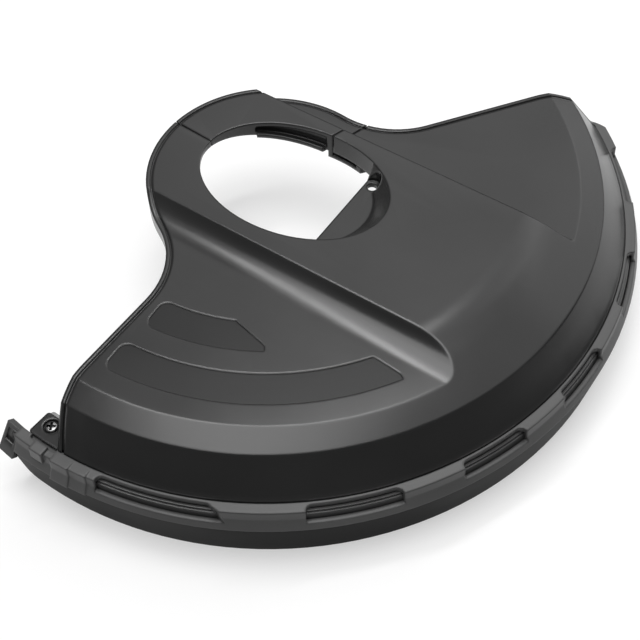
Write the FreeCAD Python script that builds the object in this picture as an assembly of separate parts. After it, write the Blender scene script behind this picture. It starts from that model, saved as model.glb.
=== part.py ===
import FreeCAD, Part
import math
import os
from FreeCAD import Vector

# Trimmer blade guard: a moulded hood with a clip-in collar bridge, a slotted rail snapped round
# its skirt, a sliding plant guard in the rail, and a screwed-on line cutter.
# Lengths are in millimetres and angles in degrees. The pieces are drawn about the centre of the
# rim arc with the lip's lower edge at z = 0, and are then moved so that the origin is the centre
# of the motor opening on the ledge that the motor housing is screwed to.

# General mouldings
WALL = 2.6
CLEARANCE = 0.3
MID_DEG = -90.0
SECTOR_DEG = 144.8
SAME_SPOT = 1e-6

# Rail: lip below the widest edge, sloping band above it, then a step and the narrow top
RIM_R = 175.0
LIP_HEIGHT = 23.0
LIP_LEAN = 3.5
LIP_WALL = 2.4
BAND_RISE = 5.2
BAND_LEAN = 2.5
STEP_RISE = 4.9
STEP_LEAN = 0.4
RAIL_TOP_WIDTH = 5.1
RAIL_WALL = 1.5
RAIL_OUTER_WALL = 1.1
RAIL_ROOF = 2.6
RAIL_FLOOR_DROP = 6.0
RAIL_LEFT_DEG = -166.4
RAIL_RIGHT_DEG = -20.5
RAIL_END_RUN = 18.0
LIP_END_ROUND = 6.0
SLOT_SPANS = [(-152.3, -135.4), (-122.6, -109.1), (-99.7, -89.0),
              (-80.7, -70.5), (-61.4, -50.4), (-39.8, -27.6)]
SLOT_SLANTS = [12.0, 2.0, 2.0, 2.0, 2.0, 2.0]
SLOT_SILL = 3.0
SLOT_RIM = 1.7
SLOT_ROUND = 2.6
SLEEVE_SPANS = [(-159.4, -156.4, 1.0), (-156.4, -153.6, 0.5)]
BLOCK_SPAN = (-163.0, -160.8)
BLOCK_PROUD = 1.3
RELIEF_ROUND = 1.0
RELIEF_SPAN = (-164.4, -159.6)
RELIEF_WIDTH = 1.7
RELIEF_DEPTH = 2.0

# Sliding plant guard
STRIP_RIGHT_DEG = -31.5
STRIP_GROOVE_WIDTH = 0.7
STRIP_RIB = 0.6
TAB_LENGTH = 8.0
TAB_OUT = 3.0
TAB_REACH = 8.5
TAB_DROP = 12.0
TAB_WALL = 3.2
TAB_FLARE = 1.0

# Hood
SKIRT_RISE = 15.8
SKIRT_RUN = 12.2
BEAD_HEIGHT = 2.1
BEAD_PROUD = 0.8
HOOK_HEIGHT = 2.2
HOOK_PROUD = 1.2
HOOK_COUNT = 4
HOOK_LENGTH = 22.0
BEVEL_DEG = 20.0
DECK_RISE = 10.3
CROWN_R = 62.0
PANEL_RISE = 4.0
EDGE_FLANGE = 5.0
GROOVE_INSET = 1.8
GROOVE_WIDTH = 1.0
GROOVE_DEPTH = 0.9
SPINE_DEG = -71.5
SPINE_OFFSET = -7.0
SPINE_HALF = 40.2
LEFT_FLANK_RUN = 6.6
LEFT_VALLEY_ROUND = 22.5
RIGHT_FLANK_RUN = 2.0
RIGHT_VALLEY_ROUND = 1.5
CORNER_START_R = 136.0
LEFT_CORNER_DEG = 4.6
RIGHT_CORNER_DEG = 5.9

# Label fields in the left panel, as radius and angle bands
FIELD_DEPTH = 0.5
FIELD_ROUND = 4.2
FIELD_TIP = 3.0
INNER_FIELD = {"r_in": 91.5, "r_out": 106.5, "from_deg": -158.0, "to_deg": -137.0, "point_deg": -129.0}
OUTER_FIELD = {"r_in": 118.0, "r_out": 133.0, "from_deg": -159.0, "to_deg": -106.0, "point_deg": -103.0}

# Collar
RING_X = -8.0
RING_Y = -6.0
RING_R = 56.5
EDGE_FILLET = 40.0
OPENING_X = -1.0
OPENING_Y = -16.7
OPENING_LONG = 94.0
OPENING_WIDE = 66.0
OPENING_DEG = -67.0
COLLAR_DEPTH = 11.0
COLLAR_CLIMB_DEG = 9.6
COLLAR_CLIMB_START = 16.0
LEDGE_REACH = 22.0
LEDGE_WALL = 2.8
LEDGE_SLOPE_LONG = 9.0
LEDGE_SLOPE_WIDE = 2.0
LEDGE_HOLE_R = 2.4
LEDGE_HOLE_OFFSET = 22.0
LEDGE_HOLE_EDGE = 4.0
LEDGE_HEAD_R = 4.2

# Collar bridge, as angles round the ring's centre
BRIDGE_FROM_DEG = -0.2
BRIDGE_TO_DEG = 105.7
BRIDGE_GAP = 0.7
RIB_FROM_DEG = 5.5
RIB_TO_DEG = 64.0
RIB_PROUD = 2.0
RIB_HEIGHT = 2.2
POCKET_DEPTH = 1.2
CLIP_LENGTH = 12.0
CLIP_WALL = 1.8
CLIP_DROP = 2.2

# Line cutter
SEAT_FROM_DEG = -165.4
SEAT_TO_DEG = -155.0
SEAT_DROP = 3.7
SEAT_WIDTH = 12.0
SEAT_WALL = 2.8
SEAT_ROUND = 1.4
BLADE_WALL = 1.2
BLADE_LENGTH = 21.0
BLADE_BEHIND = 6.5
BLADE_WIDTH = 11.0
BLADE_BEVEL = 1.0
BLADE_GRIND = 3.0
SCREW_DEG = -163.2
SCREW_SHANK_R = 2.0
SCREW_HEAD_R = 2.9
SCREW_HEAD_HEIGHT = 1.8
SCREW_SINK_R = 3.5
SCREW_SINK = 1.4
SCREW_TIP = 3.0

# Levels and radii that follow from the sizes above
LEFT_DEG = MID_DEG - SECTOR_DEG / 2
RIGHT_DEG = MID_DEG + SECTOR_DEG / 2
BAND_TOP_R = RIM_R - BAND_LEAN
BAND_TOP_Z = LIP_HEIGHT + BAND_RISE
STEP_TOP_R = BAND_TOP_R - STEP_LEAN
RAIL_TOP_Z = BAND_TOP_Z + STEP_RISE
RAIL_IN_R = STEP_TOP_R - RAIL_TOP_WIDTH
RAIL_FLOOR_Z = LIP_HEIGHT - RAIL_FLOOR_DROP
CHANNEL_IN_R = RAIL_IN_R + RAIL_WALL
CHANNEL_OUT_R = STEP_TOP_R - RAIL_OUTER_WALL
CHANNEL_LOW_Z = RAIL_FLOOR_Z + RAIL_ROOF
CHANNEL_TOP_Z = RAIL_TOP_Z - RAIL_ROOF
SKIRT_R = RAIL_IN_R - CLEARANCE
SKIRT_Z = RAIL_TOP_Z + CLEARANCE
EDGE_R = SKIRT_R - SKIRT_RUN
EDGE_Z = SKIRT_Z + SKIRT_RISE
PANEL_Z = EDGE_Z + PANEL_RISE
DECK_Z = EDGE_Z + DECK_RISE
COLLAR_LOW_Z = DECK_Z - COLLAR_DEPTH
LEDGE_Z = COLLAR_LOW_Z + LEDGE_WALL
SEAT_LOW_Z = RAIL_TOP_Z - SEAT_DROP
SEAT_OUT_R = SKIRT_R
SEAT_IN_R = SEAT_OUT_R - SEAT_WIDTH
BLADE_TOP_Z = SEAT_LOW_Z - CLEARANCE
BLADE_EDGE = BLADE_LENGTH - BLADE_BEHIND
BLADE_OUT_R = math.sqrt((SKIRT_R - WALL - CLEARANCE) ** 2 - BLADE_EDGE ** 2)
SCREW_R = SEAT_OUT_R - WALL / 2 - SEAT_WIDTH / 2
FAR = 2 * RIM_R
ORIGIN = Vector(OPENING_X, OPENING_Y, LEDGE_Z)
UP = Vector(0, 0, 1)


# Drawing helpers
def polar(radius, deg, z=0.0):
    return Vector(radius * math.cos(math.radians(deg)), radius * math.sin(math.radians(deg)), z)


def turned(shape, deg):
    """Return the shape turned about the rim's axis."""
    shape.rotate(Vector(0, 0, 0), UP, deg)
    return shape


def rounded_face(corners):
    """Return a face in the XY plane; each corner is x, y and the radius that rounds it."""
    spots = [Vector(x, y, 0) for x, y, _ in corners]
    edges = []
    starts = []
    for i, (_, _, radius) in enumerate(corners):
        spot = spots[i]
        before = (spots[i - 1] - spot).normalize()
        after = (spots[(i + 1) % len(spots)] - spot).normalize()
        if radius <= 0:
            starts.append((spot, None, spot))
            continue
        half = before.getAngle(after) / 2
        reach = radius / math.tan(half)
        bisector = (before + after).normalize()
        middle = spot + bisector * (radius / math.sin(half) - radius)
        starts.append((spot + before * reach, middle, spot + after * reach))
    for i, (begin, middle, end) in enumerate(starts):
        if middle is not None:
            edges.append(Part.Arc(begin, middle, end).toShape())
        following = starts[(i + 1) % len(starts)][0]
        if (following - end).Length > SAME_SPOT:
            edges.append(Part.LineSegment(end, following).toShape())
    return Part.Face(Part.Wire(edges))


def upright(face):
    """Stand a face drawn in XY up into the XZ plane, so that its y becomes z."""
    face.rotate(Vector(0, 0, 0), Vector(1, 0, 0), 90)
    return face


def revolved(corners, from_deg, to_deg):
    """Return the radius and height section turned about the rim's axis between two angles."""
    face = turned(upright(rounded_face(corners)), from_deg)
    return face.revolve(Vector(0, 0, 0), UP, to_deg - from_deg)


def sharp(points):
    return [(x, y, 0) for x, y in points]


def offset_line(start, end, distance):
    """Return a line of an outline, drawn anticlockwise, moved inwards."""
    run = Vector(end[0] - start[0], end[1] - start[1], 0).normalize()
    shift = Vector(-run.y, run.x, 0) * distance
    return Vector(start[0], start[1], 0) + shift, run


def meeting_point(first, second):
    (p, u), (q, v) = first, second
    along = ((q.x - p.x) * v.y - (q.y - p.y) * v.x) / (u.x * v.y - u.y * v.x)
    return p + u * along


def arc_band(r_in, r_out, from_deg, to_deg, low_z, high_z, corner):
    """Return a curved slab about the rim's axis, with its corners rounded in plan."""
    low = math.degrees(corner / r_in)
    high = math.degrees(corner / r_out)
    lean = corner * (1 - math.sqrt(0.5))
    mid = (from_deg + to_deg) / 2

    def round_corner(start, radius, deg, inward, end):
        side = math.copysign(math.degrees(lean / radius), mid - deg)
        return Part.Arc(start, polar(radius + inward * lean, deg + side), end).toShape()

    inner_a = polar(r_in, from_deg + low)
    inner_b = polar(r_in, to_deg - low)
    right_a = polar(r_in + corner, to_deg)
    right_b = polar(r_out - corner, to_deg)
    outer_b = polar(r_out, to_deg - high)
    outer_a = polar(r_out, from_deg + high)
    left_b = polar(r_out - corner, from_deg)
    left_a = polar(r_in + corner, from_deg)
    edges = [Part.Arc(inner_a, polar(r_in, mid), inner_b).toShape(),
             round_corner(inner_b, r_in, to_deg, 1, right_a),
             Part.LineSegment(right_a, right_b).toShape(),
             round_corner(right_b, r_out, to_deg, -1, outer_b),
             Part.Arc(outer_b, polar(r_out, mid), outer_a).toShape(),
             round_corner(outer_a, r_out, from_deg, -1, left_b),
             Part.LineSegment(left_b, left_a).toShape(),
             round_corner(left_a, r_in, from_deg, 1, inner_a)]
    face = Part.Face(Part.Wire(edges))
    face.translate(Vector(0, 0, low_z))
    return face.extrude(Vector(0, 0, high_z - low_z))


def polar_gap(edge, spot):
    """Return how far an upright edge stands from a spot in plan."""
    foot = edge.CenterOfMass
    return math.hypot(foot.x - spot.x, foot.y - spot.y)


def save(name, shape):
    """Move a finished piece to the part's own origin and write it."""
    placed = shape.removeSplitter()
    placed.translate(-ORIGIN)
    placed.exportStep("parts/" + name + ".step")
    print(name, len(placed.Solids), placed.isValid(), round(placed.Volume))


# Hood: the top is where a turned dome, a long ridge and the plan outline have room in common
def dome(inset):
    """Return the turned body of deck, bevel and skirt, with its surface moved in by the inset."""
    bevel = math.tan(math.radians(BEVEL_DEG))
    outline = [(SKIRT_R, SKIRT_Z), (EDGE_R, EDGE_Z), (EDGE_R - DECK_RISE / bevel, DECK_Z), (0, DECK_Z)]
    lines = [offset_line(a, b, inset) for a, b in zip(outline, outline[1:])]
    flange_r = SKIRT_R - inset
    foot = (Vector(flange_r, 0, 0), Vector(0, 1, 0))
    shoulder = meeting_point(foot, lines[0])
    edge = meeting_point(lines[0], lines[1])
    crown = meeting_point(lines[1], lines[2])
    low_z = RAIL_FLOOR_Z - CLEARANCE - HOOK_HEIGHT
    corners = [(0, low_z - inset, 0), (flange_r, low_z - inset, 0), (shoulder.x, shoulder.y, 0),
               (edge.x, edge.y, 0), (crown.x, crown.y, CROWN_R), (0, DECK_Z - inset, 0)]
    return revolved(corners, 0, 360)


def ridge_side(inset, run, round_r, side):
    """Return the long prism with a panel on one side, a flank that climbs from it and room beyond."""
    climb = run / (DECK_Z - PANEL_Z)
    foot = (-SPINE_HALF - run, PANEL_Z)
    top = (foot[0] + climb * FAR, PANEL_Z + FAR)
    floor = offset_line(foot, (-FAR, PANEL_Z), inset)
    flank = offset_line(top, foot, inset)
    valley = meeting_point(floor, flank)
    tip_z = DECK_Z + WALL
    tip_x = valley.x + (tip_z - valley.y) * climb
    corners = [(-FAR, -FAR, 0), (FAR, -FAR, 0), (FAR, tip_z, 0), (tip_x, tip_z, 0),
               (valley.x, valley.y, round_r + inset), (-FAR, valley.y, 0)]
    face = upright(rounded_face([(x * side, y, r) for x, y, r in corners]))
    face.translate(Vector(SPINE_OFFSET, FAR, 0))
    return turned(face.extrude(Vector(0, -2 * FAR, 0)), SPINE_DEG - MID_DEG)


def ridge(inset):
    """Return the room under the two panels and the raised spine between them."""
    left = ridge_side(inset, LEFT_FLANK_RUN, LEFT_VALLEY_ROUND, 1)
    return left.common(ridge_side(inset, RIGHT_FLANK_RUN, RIGHT_VALLEY_ROUND, -1))


def outline_side(deg, corner_deg, side, inset):
    """Return one half of the plan outline from the ring outwards: hollow, radial edge, round corner."""
    ring = Vector(RING_X, RING_Y, 0)
    along = polar(1, deg)
    outward = Vector(-along.y * side, along.x * side, 0)
    base = outward * EDGE_FILLET - ring
    half = along.dot(base)
    reach = math.sqrt(half ** 2 - base.dot(base) + (RING_R + EDGE_FILLET) ** 2) - half
    hollow = along * reach + outward * EDGE_FILLET
    corner_end = polar(RIM_R, deg - corner_deg * side)
    chord = corner_end - along * CORNER_START_R
    corner_r = -chord.dot(chord) / (2 * chord.dot(outward))
    corner = along * CORNER_START_R - outward * corner_r

    def arc(centre, radius, start, end):
        first = (start - centre).normalize()
        last = (end - centre).normalize()
        spots = [centre + way * radius for way in (first, (first + last).normalize(), last)]
        return Part.Arc(*spots).toShape()

    hollow_arc = arc(hollow, EDGE_FILLET + inset, ring, hollow - outward)
    corner_arc = arc(corner, corner_r - inset, corner + outward, corner_end)
    straight = [hollow_arc.valueAt(hollow_arc.LastParameter), corner_arc.valueAt(corner_arc.FirstParameter)]
    corner_tip = corner_arc.valueAt(corner_arc.LastParameter)
    edges = [hollow_arc, Part.LineSegment(*straight).toShape(), corner_arc,
             Part.LineSegment(corner_tip, corner_tip * 2).toShape()]
    return edges, hollow_arc.valueAt(hollow_arc.FirstParameter), corner_tip * 2


def plan(inset, low_z, high_z):
    """Return the prism over the hood's plan outline, its back edges moved in by the inset."""
    left, left_ring, left_far = outline_side(LEFT_DEG, LEFT_CORNER_DEG, -1, inset)
    right, right_ring, right_far = outline_side(RIGHT_DEG, RIGHT_CORNER_DEG, 1, inset)
    back = Part.Arc(left_ring, Vector(RING_X, RING_Y + RING_R - inset, 0), right_ring).toShape()
    front = Part.Arc(right_far, polar(2 * RIM_R, MID_DEG), left_far).toShape()
    edges = left + right + [back, front]
    face = Part.Face(Part.Wire(Part.__sortEdges__(edges)))
    face.translate(Vector(0, 0, low_z))
    return face.extrude(Vector(0, 0, high_z - low_z))


def oval(long_half, wide_half, z):
    """Return an oval about the centre of the motor opening as a wire."""
    wire = turned(Part.Wire([Part.Ellipse(Vector(0, 0, 0), long_half, wide_half).toShape()]), OPENING_DEG)
    wire.translate(Vector(OPENING_X, OPENING_Y, z))
    return wire


def opening(grow, low_z, high_z):
    """Return the oval prism of the motor opening, grown all round."""
    face = Part.Face(oval(OPENING_LONG / 2 + grow, OPENING_WIDE / 2 + grow, low_z))
    return face.extrude(Vector(0, 0, high_z - low_z))


def hood_shell():
    """Return the moulded shell, closed by a flange along its back edges and open below."""
    outer = dome(0).common(ridge(0)).common(plan(0, -FAR, FAR))
    inner = dome(WALL)
    flange_z = PANEL_Z - WALL - EDGE_FLANGE
    upper_room = inner.common(ridge(WALL)).common(plan(WALL, flange_z, FAR))
    lower_room = inner.common(Part.makeBox(2 * FAR, 2 * FAR, FAR, Vector(-FAR, -FAR, flange_z - FAR)))
    return outer.cut(upper_room).cut(lower_room)


def bead():
    """Return the bead round the skirt, just above the rail."""
    top_z = SKIRT_Z + BEAD_HEIGHT
    top_r = SKIRT_R - BEAD_HEIGHT * SKIRT_RUN / SKIRT_RISE
    section = [(SKIRT_R - WALL / 2, SKIRT_Z), (SKIRT_R + BEAD_PROUD, SKIRT_Z),
               (top_r, top_z), (top_r - WALL / 2, top_z)]
    return revolved(sharp(section), LEFT_DEG, RIGHT_DEG).common(plan(0, -FAR, FAR))


def snap_hooks():
    """Return the hooks below the rail that hold it on the skirt, evenly spaced round the rim."""
    top_z = RAIL_FLOOR_Z - CLEARANCE
    low_z = top_z - HOOK_HEIGHT
    root_r = SKIRT_R - WALL / 2
    hook_r = SKIRT_R + HOOK_PROUD
    section = sharp([(root_r, low_z), (SKIRT_R, low_z), (hook_r, top_z - HOOK_PROUD / 2),
                     (hook_r, top_z), (root_r, top_z)])
    half = math.degrees(HOOK_LENGTH / SKIRT_R) / 2
    middles = [LEFT_DEG + SECTOR_DEG * (i + 0.5) / HOOK_COUNT for i in range(HOOK_COUNT)]
    return [revolved(section, middle - half, middle + half) for middle in middles]


def ring_sector(from_deg, to_deg):
    """Return the room between two angles round the ring's centre."""
    room = Part.makeCylinder(FAR, 2 * FAR, Vector(0, 0, -FAR), UP, to_deg - from_deg)
    room = turned(room, from_deg)
    room.translate(Vector(RING_X, RING_Y, 0))
    return room


def below_climb(lift):
    """Return the room below the collar's lower edge where that climbs to the left, raised by the lift."""
    top_z = DECK_Z - WALL
    start = RING_X - COLLAR_CLIMB_START
    foot_z = COLLAR_LOW_Z - COLLAR_DEPTH
    run = (top_z - foot_z) / math.tan(math.radians(COLLAR_CLIMB_DEG))
    side = [(-FAR, foot_z), (start + run, foot_z), (start, top_z), (-FAR, top_z)]
    face = upright(rounded_face(sharp(side)))
    face.translate(Vector(0, FAR, lift))
    return face.extrude(Vector(0, -2 * FAR, 0))


def collar():
    """Return the wall round the opening: deep beside the ledge, and running out to the left."""
    wall = opening(WALL, COLLAR_LOW_Z, DECK_Z - WALL / 2).cut(opening(0, -FAR, FAR))
    return wall.cut(below_climb(0).common(ring_sector(BRIDGE_FROM_DEG, RIB_TO_DEG + 180)))


def ledge():
    """Return the plate across the front of the opening, the slope behind it and its screw hole."""
    front = OPENING_LONG / 2 - LEDGE_REACH
    room = turned(Part.makeBox(FAR, FAR, FAR, Vector(front, -FAR / 2, -FAR / 2)), SPINE_DEG)
    room.translate(ORIGIN)
    foot_long = OPENING_LONG / 2 - LEDGE_SLOPE_LONG
    foot_wide = OPENING_WIDE / 2 - LEDGE_SLOPE_WIDE
    hollow = Part.makeLoft([oval(foot_long, foot_wide, LEDGE_Z),
                            oval(OPENING_LONG / 2, OPENING_WIDE / 2, DECK_Z)], True, True)
    hole_at = polar(front + LEDGE_HOLE_EDGE, SPINE_DEG) + polar(LEDGE_HOLE_OFFSET, SPINE_DEG + 90)
    hole_at = hole_at + Vector(OPENING_X, OPENING_Y, LEDGE_Z)
    head = Part.makeCylinder(LEDGE_HEAD_R, FAR, hole_at)
    hole = Part.makeCylinder(LEDGE_HOLE_R, 2 * FAR, hole_at - UP * FAR)
    plate = opening(WALL / 2, COLLAR_LOW_Z, LEDGE_Z)
    slope = opening(WALL / 2, LEDGE_Z, DECK_Z).cut([hollow, head])
    return plate.fuse(slope).common(room).cut(hole)


def edge_groove():
    """Return the fine line that runs round the back edges and down the ends of the skirt."""
    line = plan(GROOVE_INSET, 0, FAR).cut(plan(GROOVE_INSET + GROOVE_WIDTH, 0, FAR))
    return line.cut(dome(GROOVE_DEPTH).common(ridge(GROOVE_DEPTH)))


def label_field(field):
    """Return the shallow room of one label field: an arc band whose right end runs to a point."""
    r_in = field["r_in"]
    r_out = field["r_out"]
    mid_deg = (field["from_deg"] + field["to_deg"]) / 2
    tip = polar(r_out - FIELD_TIP, field["point_deg"])
    a = polar(r_in, field["from_deg"])
    b = polar(r_in, field["to_deg"])
    c = polar(r_out, field["point_deg"])
    d = polar(r_out, field["from_deg"])
    edges = [Part.Arc(a, polar(r_in, mid_deg), b).toShape(),
             Part.LineSegment(b, tip).toShape(),
             Part.LineSegment(tip, c).toShape(),
             Part.Arc(c, polar(r_out, mid_deg), d).toShape(),
             Part.LineSegment(d, a).toShape()]
    face = Part.Face(Part.Wire(edges))
    face.translate(Vector(0, 0, PANEL_Z - FIELD_DEPTH))
    room = face.extrude(Vector(0, 0, WALL))
    near_end = (d - a).Length / 2 + FIELD_DEPTH
    middle = (a + d) / 2
    upright_edges = [e for e in room.Edges if e.BoundBox.ZLength > FIELD_DEPTH]
    ends = [e for e in upright_edges if polar_gap(e, middle) < near_end]
    return room.makeFillet(min(FIELD_ROUND, (r_out - r_in) / 3), ends)


def blade_seat():
    """Return the plate under the hood's left end that carries the line cutter."""
    plate = arc_band(SEAT_IN_R, SEAT_OUT_R, SEAT_FROM_DEG, SEAT_TO_DEG,
                     SEAT_LOW_Z, SEAT_LOW_Z + SEAT_WALL, SEAT_ROUND)
    hole = Part.makeCylinder(SCREW_SHANK_R + CLEARANCE, 3 * SEAT_WALL,
                             polar(SCREW_R, SCREW_DEG, SEAT_LOW_Z - SEAT_WALL))
    sink = Part.makeCylinder(SCREW_SINK_R, SEAT_WALL,
                             polar(SCREW_R, SCREW_DEG, SEAT_LOW_Z + SEAT_WALL - SCREW_SINK))
    return plate.cut([hole, sink])


def bridge_room(gap):
    """Return the slice of the collar that the bridge fills, less a gap at each end."""
    slip = math.degrees(gap / RING_R)
    return ring_sector(BRIDGE_FROM_DEG + slip, BRIDGE_TO_DEG - slip)


def whole_hood():
    """Return the hood with its collar still closed."""
    shell = hood_shell().fuse([bead()] + snap_hooks())
    body = shell.fuse(blade_seat()).cut(opening(0, -FAR, FAR)).fuse(collar())
    body = body.cut([edge_groove(), label_field(INNER_FIELD), label_field(OUTER_FIELD)])
    return body.fuse(ledge())


def bridge_detail():
    """Return the rib that the bridge adds inside the opening and the pocket above it."""
    span = ring_sector(RIB_FROM_DEG, RIB_TO_DEG)
    band = opening(WALL / 2, COLLAR_LOW_Z - RIB_HEIGHT, DECK_Z - WALL).cut(opening(-RIB_PROUD, -FAR, FAR))
    rib = band.common(below_climb(RIB_HEIGHT)).cut(below_climb(0))
    pocket = opening(POCKET_DEPTH, COLLAR_LOW_Z, DECK_Z - WALL).cut(below_climb(RIB_HEIGHT))
    return rib.common(span), pocket.common(span)


def bridge_clip():
    """Return the trough-shaped clip that reaches from the bridge's right end under the collar wall."""
    floor_z = COLLAR_LOW_Z - CLIP_DROP
    low_z = floor_z - CLIP_WALL
    joint_deg = BRIDGE_FROM_DEG + math.degrees(BRIDGE_GAP / RING_R)
    wall_deg = math.degrees(CLIP_WALL / (OPENING_WIDE / 2))
    tip_deg = BRIDGE_FROM_DEG - math.degrees(CLIP_LENGTH / (OPENING_WIDE / 2))

    def band(bottom_z, top_z):
        return opening(WALL, bottom_z, top_z).cut(opening(0, -FAR, FAR))

    trough = band(low_z, COLLAR_LOW_Z - CLEARANCE).common(ring_sector(tip_deg, joint_deg))
    trough = trough.cut(ring_sector(tip_deg + wall_deg, joint_deg).common(band(floor_z, COLLAR_LOW_Z)))
    riser = band(low_z, COLLAR_LOW_Z + WALL).common(ring_sector(joint_deg, joint_deg + wall_deg))
    return trough.fuse(riser)


# Rail: a box channel above a leaning lip, with six windows cut through its upper corner
def rail_section(proud):
    lean = LIP_LEAN * RAIL_FLOOR_DROP / LIP_HEIGHT
    return sharp([(RAIL_IN_R, RAIL_FLOOR_Z), (RIM_R - lean - LIP_WALL, RAIL_FLOOR_Z),
                  (RIM_R - LIP_LEAN - LIP_WALL, 0), (RIM_R - LIP_LEAN, 0), (RIM_R + proud, LIP_HEIGHT),
                  (BAND_TOP_R + proud, BAND_TOP_Z + proud / 2), (STEP_TOP_R + proud, RAIL_TOP_Z + proud),
                  (RAIL_IN_R, RAIL_TOP_Z)])


def channel(clear):
    """Return the section that the strip runs in, or with a clearance the strip's own."""
    in_r = CHANNEL_IN_R + clear
    step_r = CHANNEL_OUT_R - clear
    low_z = CHANNEL_LOW_Z + clear
    top_z = CHANNEL_TOP_Z - clear
    lean = BAND_LEAN * (1 - RAIL_OUTER_WALL / BAND_RISE) / (BAND_TOP_Z - CHANNEL_LOW_Z)
    shoulder_z = BAND_TOP_Z - clear * lean / 2
    foot_r = step_r + lean * (shoulder_z - low_z)
    return [(in_r, low_z), (foot_r, low_z), (step_r, shoulder_z), (step_r, top_z), (in_r, top_z)]


def window(span, slant):
    """Return the room of one window; its right end slants away towards the outside."""
    in_r = RAIL_IN_R + SLOT_RIM
    out_r = RIM_R + WALL
    low_z = LIP_HEIGHT + SLOT_SILL
    from_deg, to_deg = span
    room = arc_band(in_r, RIM_R + FAR, from_deg, to_deg, low_z, RAIL_TOP_Z + WALL, SLOT_ROUND)
    root = polar(in_r + SLOT_ROUND / 2, to_deg - math.degrees(SLOT_ROUND / in_r))
    spots = [root, polar(in_r + SLOT_ROUND / 2, to_deg), polar(out_r, to_deg + math.degrees(slant / out_r)),
             polar(out_r, to_deg - math.degrees(SLOT_ROUND / in_r))]
    face = Part.Face(Part.makePolygon(spots + spots[:1]))
    face.translate(Vector(0, 0, low_z))
    return room.fuse(face.extrude(Vector(0, 0, RAIL_TOP_Z + WALL - low_z)))


def end_corner():
    """Return the room outside the rail's right end, which is rounded in plan."""
    outer_deg = RAIL_RIGHT_DEG - math.degrees(RAIL_END_RUN / RIM_R)
    way = polar(1, outer_deg)
    outer = way * (RIM_R + CLEARANCE)
    inner = polar(RAIL_IN_R, RAIL_RIGHT_DEG)
    chord = outer - inner
    radius = chord.dot(chord) / (2 * chord.dot(way))
    centre = outer - way * radius
    middle = centre + (outer + inner - centre * 2).normalize() * radius
    beyond = polar(FAR, RAIL_RIGHT_DEG + math.degrees(RAIL_END_RUN / RIM_R))
    edges = [Part.Arc(outer, middle, inner).toShape(), Part.LineSegment(inner, beyond).toShape(),
             Part.LineSegment(beyond, way * FAR).toShape(), Part.LineSegment(way * FAR, outer).toShape()]
    face = Part.Face(Part.Wire(edges))
    face.translate(Vector(0, 0, -WALL))
    return face.extrude(Vector(0, 0, FAR))


def lip_corner(deg, side):
    """Return the room below the lip's rounded lower corner at one end of the rail."""
    size = LIP_END_ROUND
    box = Part.makeBox(FAR, size + WALL, size + WALL, Vector(0, -WALL if side > 0 else -size, -WALL))
    wheel = Part.makeCylinder(size, FAR, Vector(0, side * size, size), Vector(1, 0, 0))
    return turned(box.cut(wheel), deg)


def rail_extras():
    """Return the two sleeve steps and the block at the rail's left end."""
    extras = []
    for from_deg, to_deg, proud in SLEEVE_SPANS:
        foot_z = LIP_HEIGHT - RAIL_WALL
        foot = sharp([(RAIL_IN_R, foot_z), (RIM_R - RAIL_WALL, foot_z)])
        extras.append(revolved(foot + rail_section(proud)[4:], from_deg, to_deg))
    block_r = RAIL_IN_R + RELIEF_WIDTH
    block = sharp([(block_r, BAND_TOP_Z), (BAND_TOP_R + BLOCK_PROUD, BAND_TOP_Z),
                   (STEP_TOP_R + BLOCK_PROUD, RAIL_TOP_Z + BLOCK_PROUD), (block_r, RAIL_TOP_Z + BLOCK_PROUD)])
    extras.append(revolved(block, *BLOCK_SPAN))
    return extras


def rail():
    body = revolved(rail_section(0), RAIL_LEFT_DEG, RAIL_RIGHT_DEG)
    relief = arc_band(RAIL_IN_R - WALL, RAIL_IN_R + RELIEF_WIDTH, *RELIEF_SPAN,
                      RAIL_TOP_Z - RELIEF_DEPTH, RAIL_TOP_Z + WALL, RELIEF_ROUND)
    body = body.cut(relief).fuse(rail_extras())
    spill_deg = math.degrees(WALL / RIM_R)
    room = revolved(sharp(channel(0)), RAIL_LEFT_DEG - spill_deg, SLOT_SPANS[-1][1])
    windows = [window(span, slant) for span, slant in zip(SLOT_SPANS, SLOT_SLANTS)]
    corners = [lip_corner(RAIL_LEFT_DEG, 1), lip_corner(RAIL_RIGHT_DEG, -1), end_corner()]
    return body.cut([room] + windows + corners)


# Slider: a ribbed strip that fills the channel, with a flared pull tab outside the rail's left end
def strip():
    low, foot, shoulder, top, inner = channel(CLEARANCE)
    groove_r = top[0] - STRIP_GROOVE_WIDTH
    groove_z = shoulder[1] + STRIP_RIB
    section = sharp([low, foot, shoulder, (top[0], groove_z), (groove_r, groove_z),
                     (groove_r, top[1]), inner])
    tab_deg = RAIL_LEFT_DEG - math.degrees((CLEARANCE + TAB_LENGTH / 2) / RIM_R)
    return revolved(section, tab_deg, STRIP_RIGHT_DEG)


def tab_section(deg, lift, grow, depth):
    """Return the sloping section of the pull tab at one angle."""
    mid_r = (CHANNEL_IN_R + CHANNEL_OUT_R) / 2 + TAB_OUT
    mid_z = (CHANNEL_LOW_Z + CHANNEL_TOP_Z) / 2
    top = Vector(mid_r - TAB_REACH / 2 + grow, mid_z + TAB_DROP / 2 + lift - grow, 0)
    low = Vector(mid_r + TAB_REACH / 2 - grow, mid_z - TAB_DROP / 2 + lift + grow, 0)
    along = (low - top).normalize()
    inward = Vector(along.y, -along.x, 0)
    if inward.x > 0:
        inward = inward * -1
    face = [top, low]
    back = [low + inward * depth, top + inward * depth]
    spots = [Vector(p.x, 0, p.y) for p in face + back]
    wire = Part.makePolygon(spots + spots[:1])
    return turned(wire, deg)


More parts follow.
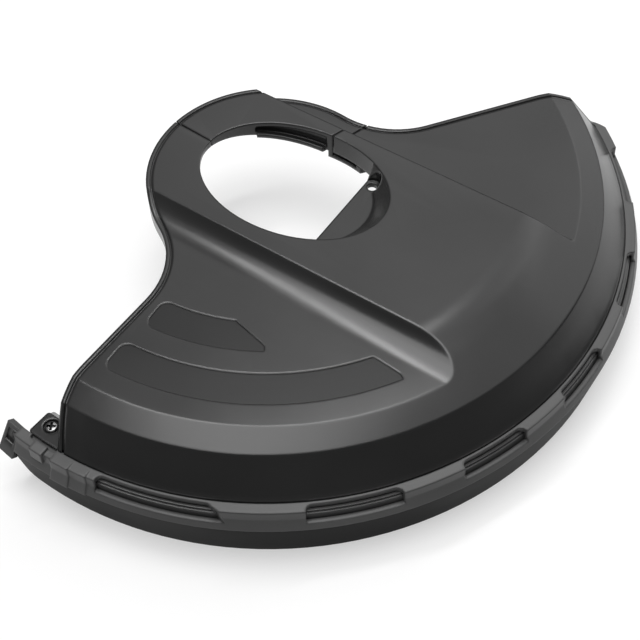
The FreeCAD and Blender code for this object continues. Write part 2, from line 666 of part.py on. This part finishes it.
def tab():
    near_deg = RAIL_LEFT_DEG - math.degrees(CLEARANCE / RAIL_IN_R)
    far_deg = near_deg - math.degrees(TAB_LENGTH / RIM_R)
    body = Part.makeLoft([tab_section(near_deg, 0, 0, TAB_WALL),
                          tab_section(far_deg, TAB_FLARE, 0, TAB_WALL)], True)
    margin = TAB_WALL / 2
    step = math.degrees(margin / RIM_R)
    share = margin / TAB_LENGTH * TAB_FLARE
    room = Part.makeLoft([tab_section(near_deg - step, share, margin, TAB_WALL / 3),
                          tab_section(far_deg + step, TAB_FLARE - share, margin, TAB_WALL / 3)], True)
    return body.cut(room)


# Line cutter: a steel blade under the seat, its ground edge towards the incoming line
def blade():
    """Return the blade, drawn with the screw at the origin, x outwards and y along the rim."""
    out_x = BLADE_OUT_R - SCREW_R
    in_x = out_x - BLADE_WIDTH
    face = rounded_face([(in_x, -BLADE_BEHIND, SEAT_ROUND), (out_x, -BLADE_BEHIND, SEAT_ROUND),
                         (out_x, BLADE_EDGE, 0), (in_x, BLADE_EDGE, 0)])
    plate = face.extrude(Vector(0, 0, BLADE_WALL))
    grind = [Vector(-FAR, BLADE_EDGE, 0), Vector(-FAR, BLADE_EDGE - BLADE_GRIND, 0),
             Vector(-FAR, BLADE_EDGE, BLADE_BEVEL)]
    bevel = Part.Face(Part.makePolygon(grind + grind[:1]))
    plate = plate.cut(bevel.extrude(Vector(2 * FAR, 0, 0)))
    plate = plate.cut(Part.makeCylinder(SCREW_SHANK_R + CLEARANCE, 3 * BLADE_WALL, Vector(0, 0, -BLADE_WALL)))
    plate = turned(plate, SCREW_DEG)
    plate.translate(polar(SCREW_R, SCREW_DEG, BLADE_TOP_Z - BLADE_WALL))
    return plate


def screw():
    """Return the pan-head screw that clamps the blade under its seat."""
    head_z = SEAT_LOW_Z + SEAT_WALL - SCREW_SINK
    tip_z = BLADE_TOP_Z - BLADE_WALL - SCREW_TIP
    shank = Part.makeCylinder(SCREW_SHANK_R, head_z - tip_z, polar(SCREW_R, SCREW_DEG, tip_z))
    head = Part.makeCylinder(SCREW_HEAD_R, SCREW_HEAD_HEIGHT, polar(SCREW_R, SCREW_DEG, head_z))
    return shank.fuse(head)


def main():
    os.makedirs("parts", exist_ok=True)
    closed = whole_hood()
    save("hood", closed.cut(bridge_room(0)))
    rib, pocket = bridge_detail()
    bridge = closed.common(bridge_room(BRIDGE_GAP)).cut(pocket).fuse([rib, bridge_clip()])
    save("collar_bridge", bridge)
    save("rim_rail", rail())
    save("plant_guard_slider", strip().fuse(tab()))
    save("line_cutter_blade", blade())
    save("blade_screw", screw())


main()
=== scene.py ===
import math

import bmesh
import bpy
from mathutils import Matrix, Vector


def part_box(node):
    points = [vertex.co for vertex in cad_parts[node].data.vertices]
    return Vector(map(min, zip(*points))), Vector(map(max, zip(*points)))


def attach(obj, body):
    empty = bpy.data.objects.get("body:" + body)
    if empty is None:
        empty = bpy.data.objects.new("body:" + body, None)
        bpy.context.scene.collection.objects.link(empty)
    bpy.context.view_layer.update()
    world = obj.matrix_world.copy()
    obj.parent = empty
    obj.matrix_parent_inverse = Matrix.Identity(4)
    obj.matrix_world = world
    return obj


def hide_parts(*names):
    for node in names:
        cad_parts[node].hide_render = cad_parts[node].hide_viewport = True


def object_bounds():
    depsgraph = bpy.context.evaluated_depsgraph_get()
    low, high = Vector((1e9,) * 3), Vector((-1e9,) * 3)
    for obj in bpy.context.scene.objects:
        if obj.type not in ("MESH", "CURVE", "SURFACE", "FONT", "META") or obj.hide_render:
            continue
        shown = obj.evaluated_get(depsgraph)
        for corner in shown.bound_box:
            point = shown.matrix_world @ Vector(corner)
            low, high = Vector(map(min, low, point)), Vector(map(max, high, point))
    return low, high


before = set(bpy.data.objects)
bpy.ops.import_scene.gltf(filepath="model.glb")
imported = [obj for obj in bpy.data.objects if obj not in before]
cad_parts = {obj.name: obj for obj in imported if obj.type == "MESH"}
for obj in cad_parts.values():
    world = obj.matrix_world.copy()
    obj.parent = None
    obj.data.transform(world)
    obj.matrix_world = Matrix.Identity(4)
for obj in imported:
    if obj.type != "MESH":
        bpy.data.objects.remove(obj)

CAD_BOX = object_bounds()
MM = 0.001

# Camera, as read from the photograph's perspective
CAMERA_AT = (-0.2215, -0.3121, 0.4137)
CAMERA_TURN = math.radians(37.0)
CAMERA_TILT = math.radians(53.4)
CAMERA_ROLL = math.radians(-0.98)
CAMERA_LENS = 67.5
CAMERA_SENSOR = 36.0

# Edge softening: how far each material rounds its creases, and the turn that makes a crease
CREASE_EDGE = 1.5 * MM
RAIL_EDGE = 1.5 * MM
SLIDER_EDGE = 0.5 * MM
CREASE_SAMPLES = 12
CREASE_ANGLE = math.radians(17.5)
FLAT_ANGLE = math.radians(0.05)
MERGE_DISTANCE = 0.001 * MM
NORMAL_WEIGHT = 60

# Plastic: its slow tone changes, the roughness of its grain, and where its edges are rubbed
CLOUD_SCALE = 14.0
CLOUD_TONE = 0.12
CLOUD_ROUGHNESS = 0.04
GRAIN_ROUGHNESS = 0.6
RUBBED_FROM = 0.53
RUBBED_TO = 0.6
RUBBED_SHARE = 0.6

# Steel: its duller patches and its grinding lines
PATCH_SCALE = 250.0
PATCH_TONE = 0.8
LINE_ROUGHNESS = 0.08
LINE_STRENGTH = 0.4
LINE_DEPTH = 0.02 * MM
BLADE_LINES = (300.0, 5000.0, 300.0)
SCREW_LINES = (900.0, 900.0, 3000.0)

# Label fields: the level of their floors, and how closely a face must match it
FIELD_LEVEL = 1.4 * MM
LEVEL_MATCH = 0.03 * MM
LEVEL_NORMAL = 0.999

# Level of the rail's widest edge; the lip below it is painted near-black and dull, as painted shade under
# that edge
LIP_LEVEL = -28.3 * MM

# Screw: head, shank, thread and the cross recess in the crown; the head's outline is radius and rise in mm
HEAD_HEIGHT = 1.8 * MM
HEAD_OUTLINE = ((2.9, 0.0), (2.9, 0.6), (2.7, 1.1), (2.25, 1.5), (1.5, 1.72))
SHANK_RADIUS = 2.0 * MM
THREAD_DEPTH = 0.35 * MM
THREAD_PITCH = 0.8 * MM
THREAD_LENGTH = 4.8 * MM
THREAD_START = 0.3
LATHE_STEPS = 48
CROSS_WIDTH = 1.15 * MM
CROSS_LENGTH = 4.1 * MM
CROSS_DEPTH = 1.3 * MM
CROSS_TURN = math.radians(-41.0)

# Studio levels
FLOOR_GREY = 0.5
FLOOR_GLOW = 0.5
FLOOR_ROUGHNESS = 0.9
FLOOR_SPECULAR = 0.1
WORLD_GREY = 0.12
FLOOR_HALF = 20.0
STUDIO_MIDDLE = (0.0, -0.07, 0.0)
TOP_BOX_FOOT = (-0.10, 0.0, 0.0)


# Node helpers
def new_material(name):
    material = bpy.data.materials.new(name)
    material.use_nodes = True
    tree = material.node_tree
    shader = tree.nodes["Principled BSDF"]
    return material, tree, shader


def add_node(tree, kind, **values):
    """Return a new node; values name its sockets, or its properties where it has no such socket."""
    node = tree.nodes.new(kind)
    for key, value in values.items():
        label = key.replace("_", " ").title()
        if label in node.inputs:
            node.inputs[label].default_value = value
        else:
            setattr(node, key, value)
    return node


def ramp(tree, source, low, high, low_value, high_value):
    """Return a socket that runs from one value to another as the source goes from low to high."""
    node = add_node(tree, "ShaderNodeMapRange", from_min=low, from_max=high,
                    to_min=low_value, to_max=high_value)
    tree.links.new(source, node.inputs["Value"])
    return node.outputs["Result"]


def noise(tree, coords, scale, detail, roughness=0.5):
    node = add_node(tree, "ShaderNodeTexNoise", scale=scale, detail=detail, roughness=roughness)
    tree.links.new(coords, node.inputs["Vector"])
    return node.outputs["Fac"]


def mixed(tree, amount, first, second):
    """Return a colour socket that goes from the first colour to the second."""
    node = add_node(tree, "ShaderNodeMix", data_type="RGBA")
    for key, value in (("A", first), ("B", second)):
        socket = next(s for s in node.inputs if s.name == key and s.type == "RGBA")
        if hasattr(value, "node"):
            tree.links.new(value, socket)
        else:
            socket.default_value = (*value, 1.0)
    factor = next(s for s in node.inputs if s.name == "Factor" and s.type == "VALUE")
    tree.links.new(amount, factor)
    return next(s for s in node.outputs if s.type == "RGBA")


def seen_directly(tree):
    """Return a socket that is 1 for camera, glossy and transmission rays, and 0 for the rest."""
    path = add_node(tree, "ShaderNodeLightPath")
    total = path.outputs["Is Camera Ray"]
    for ray in ("Is Glossy Ray", "Is Transmission Ray"):
        either = add_node(tree, "ShaderNodeMath", operation="MAXIMUM")
        tree.links.new(total, either.inputs[0])
        tree.links.new(path.outputs[ray], either.inputs[1])
        total = either.outputs["Value"]
    return total


def moulded_plastic(name, grey, worn, roughness, specular, grain_mm, grain_depth, crease=0.0):
    """Black moulded plastic: fine spark-eroded grain, slow tone changes, edges rubbed paler, soft creases."""
    material, tree, shader = new_material(name)
    coords = add_node(tree, "ShaderNodeTexCoord").outputs["Object"]
    cloud = noise(tree, coords, CLOUD_SCALE, detail=3.0)
    grain = noise(tree, coords, 1.0 / (grain_mm * MM), detail=2.0, roughness=GRAIN_ROUGHNESS)
    darker, paler = grey * (1 - CLOUD_TONE), grey * (1 + CLOUD_TONE)
    toned = mixed(tree, ramp(tree, cloud, 0.3, 0.7, 0.0, 1.0), [darker] * 3, [paler] * 3)
    pointed = add_node(tree, "ShaderNodeNewGeometry").outputs["Pointiness"]
    rubbed = ramp(tree, pointed, RUBBED_FROM, RUBBED_TO, 0.0, RUBBED_SHARE)
    tree.links.new(mixed(tree, rubbed, toned, [worn] * 3), shader.inputs["Base Color"])
    sheen = ramp(tree, cloud, 0.25, 0.75, roughness - CLOUD_ROUGHNESS, roughness + CLOUD_ROUGHNESS)
    tree.links.new(sheen, shader.inputs["Roughness"])
    shader.inputs["Specular IOR Level"].default_value = specular
    bump = add_node(tree, "ShaderNodeBump", strength=1.0, distance=grain_depth * MM)
    tree.links.new(grain, bump.inputs["Height"])
    if crease > 0:
        soft = add_node(tree, "ShaderNodeBevel", samples=CREASE_SAMPLES, radius=crease)
        tree.links.new(soft.outputs["Normal"], bump.inputs["Normal"])
    tree.links.new(bump.outputs["Normal"], shader.inputs["Normal"])
    return material


def ground_steel(name, grey, roughness, line_scale):
    """Steel with fine grinding lines and a few duller patches."""
    material, tree, shader = new_material(name)
    coords = add_node(tree, "ShaderNodeTexCoord").outputs["Object"]
    stretch = add_node(tree, "ShaderNodeMapping", scale=line_scale)
    tree.links.new(coords, stretch.inputs["Vector"])
    lines = noise(tree, stretch.outputs["Vector"], 1.0, detail=3.0)
    patch = noise(tree, coords, PATCH_SCALE, detail=3.0)
    tone = mixed(tree, ramp(tree, patch, 0.35, 0.7, 0.0, 1.0), [grey * PATCH_TONE] * 3, [grey] * 3)
    tree.links.new(tone, shader.inputs["Base Color"])
    shader.inputs["Metallic"].default_value = 1.0
    sheen = ramp(tree, lines, 0.3, 0.7, roughness - LINE_ROUGHNESS, roughness + LINE_ROUGHNESS)
    tree.links.new(sheen, shader.inputs["Roughness"])
    bump = add_node(tree, "ShaderNodeBump", strength=LINE_STRENGTH, distance=LINE_DEPTH)
    tree.links.new(lines, bump.inputs["Height"])
    tree.links.new(bump.outputs["Normal"], shader.inputs["Normal"])
    return material


# Pieces
def place(piece, node, body):
    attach(piece, body)
    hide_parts(node)


def new_piece(name, mesh):
    piece = bpy.data.objects.new(name, mesh)
    bpy.context.scene.collection.objects.link(piece)
    return piece


def moulded(node, body, material):
    """Show a node as a piece of its own, smooth over its curves and crisp at its edges."""
    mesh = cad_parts[node].data.copy()
    mesh.materials.clear()
    mesh.materials.append(material)
    shape = bmesh.new()
    shape.from_mesh(mesh)
    bmesh.ops.remove_doubles(shape, verts=shape.verts, dist=MERGE_DISTANCE)
    bmesh.ops.dissolve_limit(shape, angle_limit=FLAT_ANGLE, verts=shape.verts, edges=shape.edges)
    for edge in shape.edges:
        edge.smooth = edge.calc_face_angle(math.pi) < CREASE_ANGLE
    for face in shape.faces:
        face.smooth = True
        face.material_index = 0
    shape.to_mesh(mesh)
    shape.free()
    piece = new_piece(node + "_moulding", mesh)
    normals = piece.modifiers.new("even_shading", "WEIGHTED_NORMAL")
    normals.weight = NORMAL_WEIGHT
    normals.keep_sharp = True
    place(piece, node, body)
    return piece


def finish_fields(hood, material):
    """Give the floors of the two label fields a finish of their own."""
    hood.data.materials.append(material)
    for face in hood.data.polygons:
        if face.normal.z > LEVEL_NORMAL and abs(face.center.z - FIELD_LEVEL) < LEVEL_MATCH:
            face.material_index = 1


def paint_lip_shade(rail, material):
    """Give the rail's lip a material of its own, a near-black, barely reflective one that paints the shade
    under the rail's widest edge.
    """
    rail.data.materials.append(material)
    for face in rail.data.polygons:
        if face.center.z < LIP_LEVEL:
            face.material_index = 1


def screw_profile(low_z, top_z):
    """Return the radius and height outline of the screw from its tip to its crown."""
    head_z = top_z - HEAD_HEIGHT
    outline = [(0.0, low_z), (SHANK_RADIUS - 2 * THREAD_DEPTH, low_z)]
    for turn in range(round(THREAD_LENGTH / THREAD_PITCH)):
        root_z = low_z + (turn + THREAD_START) * THREAD_PITCH
        outline.append((SHANK_RADIUS - THREAD_DEPTH, root_z))
        outline.append((SHANK_RADIUS, root_z + THREAD_PITCH / 2))
    outline.append((SHANK_RADIUS, head_z))
    outline += [(radius * MM, head_z + rise * MM) for radius, rise in HEAD_OUTLINE]
    return outline + [(0.0, top_z)]


def lathe_mesh(name, outline, centre_x, centre_y):
    shape = bmesh.new()
    spots = [shape.verts.new((centre_x + radius, centre_y, z)) for radius, z in outline]
    lines = [shape.edges.new(pair) for pair in zip(spots, spots[1:])]
    bmesh.ops.spin(shape, geom=spots + lines, cent=(centre_x, centre_y, 0.0), axis=(0.0, 0.0, 1.0),
                   angle=2 * math.pi, steps=LATHE_STEPS, use_merge=True)
    bmesh.ops.remove_doubles(shape, verts=shape.verts, dist=MERGE_DISTANCE)
    bmesh.ops.recalc_face_normals(shape, faces=shape.faces)
    mesh = bpy.data.meshes.new(name)
    shape.to_mesh(mesh)
    shape.free()
    return mesh


def cross_mesh(centre):
    """Return the room of the cross recess: two slabs, one across the other; its faces carry the second
    material, which paints the recess's shade.
    """
    shape = bmesh.new()
    for turn in (0.0, math.pi / 2):
        size = Matrix.Diagonal((CROSS_LENGTH, CROSS_WIDTH, 2 * CROSS_DEPTH, 1.0))
        at = Matrix.Translation(centre) @ Matrix.Rotation(CROSS_TURN + turn, 4, "Z")
        bmesh.ops.create_cube(shape, size=1.0, matrix=at @ size)
    for face in shape.faces:
        face.material_index = 1
    mesh = bpy.data.meshes.new("cross_room")
    shape.to_mesh(mesh)
    shape.free()
    return mesh


def add_screw(bright, dark):
    """Show the screw with a domed head, a cross recess painted near-black as painted shade, and its thread.
    """
    low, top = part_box("blade_screw")
    centre_x = (low[0] + top[0]) / 2
    centre_y = (low[1] + top[1]) / 2
    outline = screw_profile(low[2], top[2])
    blank = new_piece("screw_blank", lathe_mesh("screw_blank", outline, centre_x, centre_y))
    cross = new_piece("cross_room", cross_mesh((centre_x, centre_y, top[2])))
    for helper in (blank, cross):
        helper.data.materials.append(bright)
        helper.data.materials.append(dark)
    cut = blank.modifiers.new("cross_recess", "BOOLEAN")
    cut.operation = "DIFFERENCE"
    cut.object = cross
    cut.use_self = True
    view = bpy.context.evaluated_depsgraph_get()
    mesh = bpy.data.meshes.new_from_object(blank.evaluated_get(view))
    bpy.data.objects.remove(blank)
    bpy.data.objects.remove(cross)
    place(new_piece("cross_head_screw", mesh), "blade_screw", "guard")


def build_pieces():
    hood_black = moulded_plastic("hood_black", grey=0.019, worn=0.035, roughness=0.23, specular=0.5,
                                 grain_mm=0.45, grain_depth=0.010, crease=CREASE_EDGE)
    field_black = moulded_plastic("field_black", grey=0.010, worn=0.02, roughness=0.36, specular=0.30,
                                  grain_mm=0.3, grain_depth=0.012)
    rail_black = moulded_plastic("rail_black", grey=0.080, worn=0.10, roughness=0.38, specular=0.28,
                                 grain_mm=0.5, grain_depth=0.010, crease=RAIL_EDGE)
    # Painted shade: a near-black, barely reflective copy of the rail's plastic for the lip, standing for the
    # shade under the rail's widest edge
    lip_painted_shade = moulded_plastic("lip_painted_shade", grey=0.003, worn=0.010, roughness=0.45, specular=0.03,
                                grain_mm=0.5, grain_depth=0.010, crease=RAIL_EDGE)
    slider_black = moulded_plastic("slider_black", grey=0.040, worn=0.08, roughness=0.32, specular=0.55,
                                   grain_mm=0.6, grain_depth=0.006, crease=SLIDER_EDGE)
    blade_steel = ground_steel("blade_steel", grey=0.25, roughness=0.38, line_scale=BLADE_LINES)
    screw_steel = ground_steel("screw_steel", grey=0.32, roughness=0.32, line_scale=SCREW_LINES)
    # Painted shade: near-black, rough steel for the cross recess, standing for the shadow inside it
    recess_painted_shade = ground_steel("recess_painted_shade", grey=0.02, roughness=0.6, line_scale=SCREW_LINES)
    hood = moulded("hood", "guard", hood_black)
    finish_fields(hood, field_black)
    moulded("collar_bridge", "guard", hood_black)
    rail = moulded("rim_rail", "guard", rail_black)
    paint_lip_shade(rail, lip_painted_shade)
    moulded("plant_guard_slider", "slider", slider_black)
    moulded("line_cutter_blade", "guard", blade_steel)
    add_screw(screw_steel, recess_painted_shade)


# Studio
def add_floor(low_z):
    """Add the pale floor; it glows only where it is seen, so that it comes out white round the shadow."""
    half = FLOOR_HALF
    mesh = bpy.data.meshes.new("floor")
    mesh.from_pydata([(-half, -half, low_z), (half, -half, low_z), (half, half, low_z), (-half, half, low_z)],
                     [], [(0, 1, 2, 3)])
    material, tree, shader = new_material("floor_white")
    shader.inputs["Base Color"].default_value = (FLOOR_GREY, FLOOR_GREY, FLOOR_GREY, 1.0)
    shader.inputs["Roughness"].default_value = FLOOR_ROUGHNESS
    shader.inputs["Specular IOR Level"].default_value = FLOOR_SPECULAR
    shader.inputs["Emission Color"].default_value = (1.0, 1.0, 1.0, 1.0)
    glow = ramp(tree, seen_directly(tree), 0.0, 1.0, 0.0, FLOOR_GLOW)
    tree.links.new(glow, shader.inputs["Emission Strength"])
    mesh.materials.append(material)
    new_piece("floor", mesh)


def add_world():
    """Add the dim room round the studio."""
    world = bpy.data.worlds.new("studio")
    bpy.context.scene.world = world
    world.use_nodes = True
    background = world.node_tree.nodes["Background"]
    background.inputs["Color"].default_value = (WORLD_GREY, WORLD_GREY, WORLD_GREY, 1.0)
    background.inputs["Strength"].default_value = 1.0


def add_softbox(name, at, target, width, height, power):
    lamp = bpy.data.lights.new(name, "AREA")
    lamp.shape = "RECTANGLE"
    lamp.size = width
    lamp.size_y = height
    lamp.energy = power
    box = bpy.data.objects.new(name, lamp)
    box.location = at
    box.rotation_euler = (Vector(target) - Vector(at)).to_track_quat("-Z", "Y").to_euler()
    bpy.context.scene.collection.objects.link(box)


def add_camera():
    data = bpy.data.cameras.new("camera")
    data.lens = CAMERA_LENS
    data.sensor_width = CAMERA_SENSOR
    look = Vector((math.sin(CAMERA_TURN) * math.cos(CAMERA_TILT),
                   math.cos(CAMERA_TURN) * math.cos(CAMERA_TILT), -math.sin(CAMERA_TILT)))
    right = Vector((math.cos(CAMERA_TURN), -math.sin(CAMERA_TURN), 0.0))
    up = right.cross(look)
    level = Matrix((right, up, -look)).transposed()
    turn = (level @ Matrix.Rotation(CAMERA_ROLL, 3, "Z")).to_4x4()
    camera = bpy.data.objects.new("camera", data)
    camera.matrix_world = Matrix.Translation(CAMERA_AT) @ turn
    bpy.context.scene.collection.objects.link(camera)
    bpy.context.scene.camera = camera


def build_studio():
    add_floor(CAD_BOX[0][2])
    add_world()
    add_softbox("top_box", at=(-0.10, 0.0, 1.2), target=TOP_BOX_FOOT,
                width=1.0, height=0.8, power=11.0)
    add_softbox("strip_box", at=(0.10, 0.39, 1.22), target=STUDIO_MIDDLE,
                width=1.0, height=0.10, power=4.3)
    add_softbox("back_box", at=(0.75, 0.60, 1.00), target=STUDIO_MIDDLE,
                width=1.2, height=0.8, power=2.85)
    add_softbox("right_box", at=(1.20, 0.00, 0.70), target=STUDIO_MIDDLE,
                width=1.0, height=0.9, power=3.6)
    add_softbox("fill_box", at=(0.67, -0.26, 1.10), target=STUDIO_MIDDLE,
                width=0.8, height=0.6, power=1.2)
    add_camera()
    bpy.context.scene.view_settings.view_transform = "Standard"


build_pieces()
build_studio()
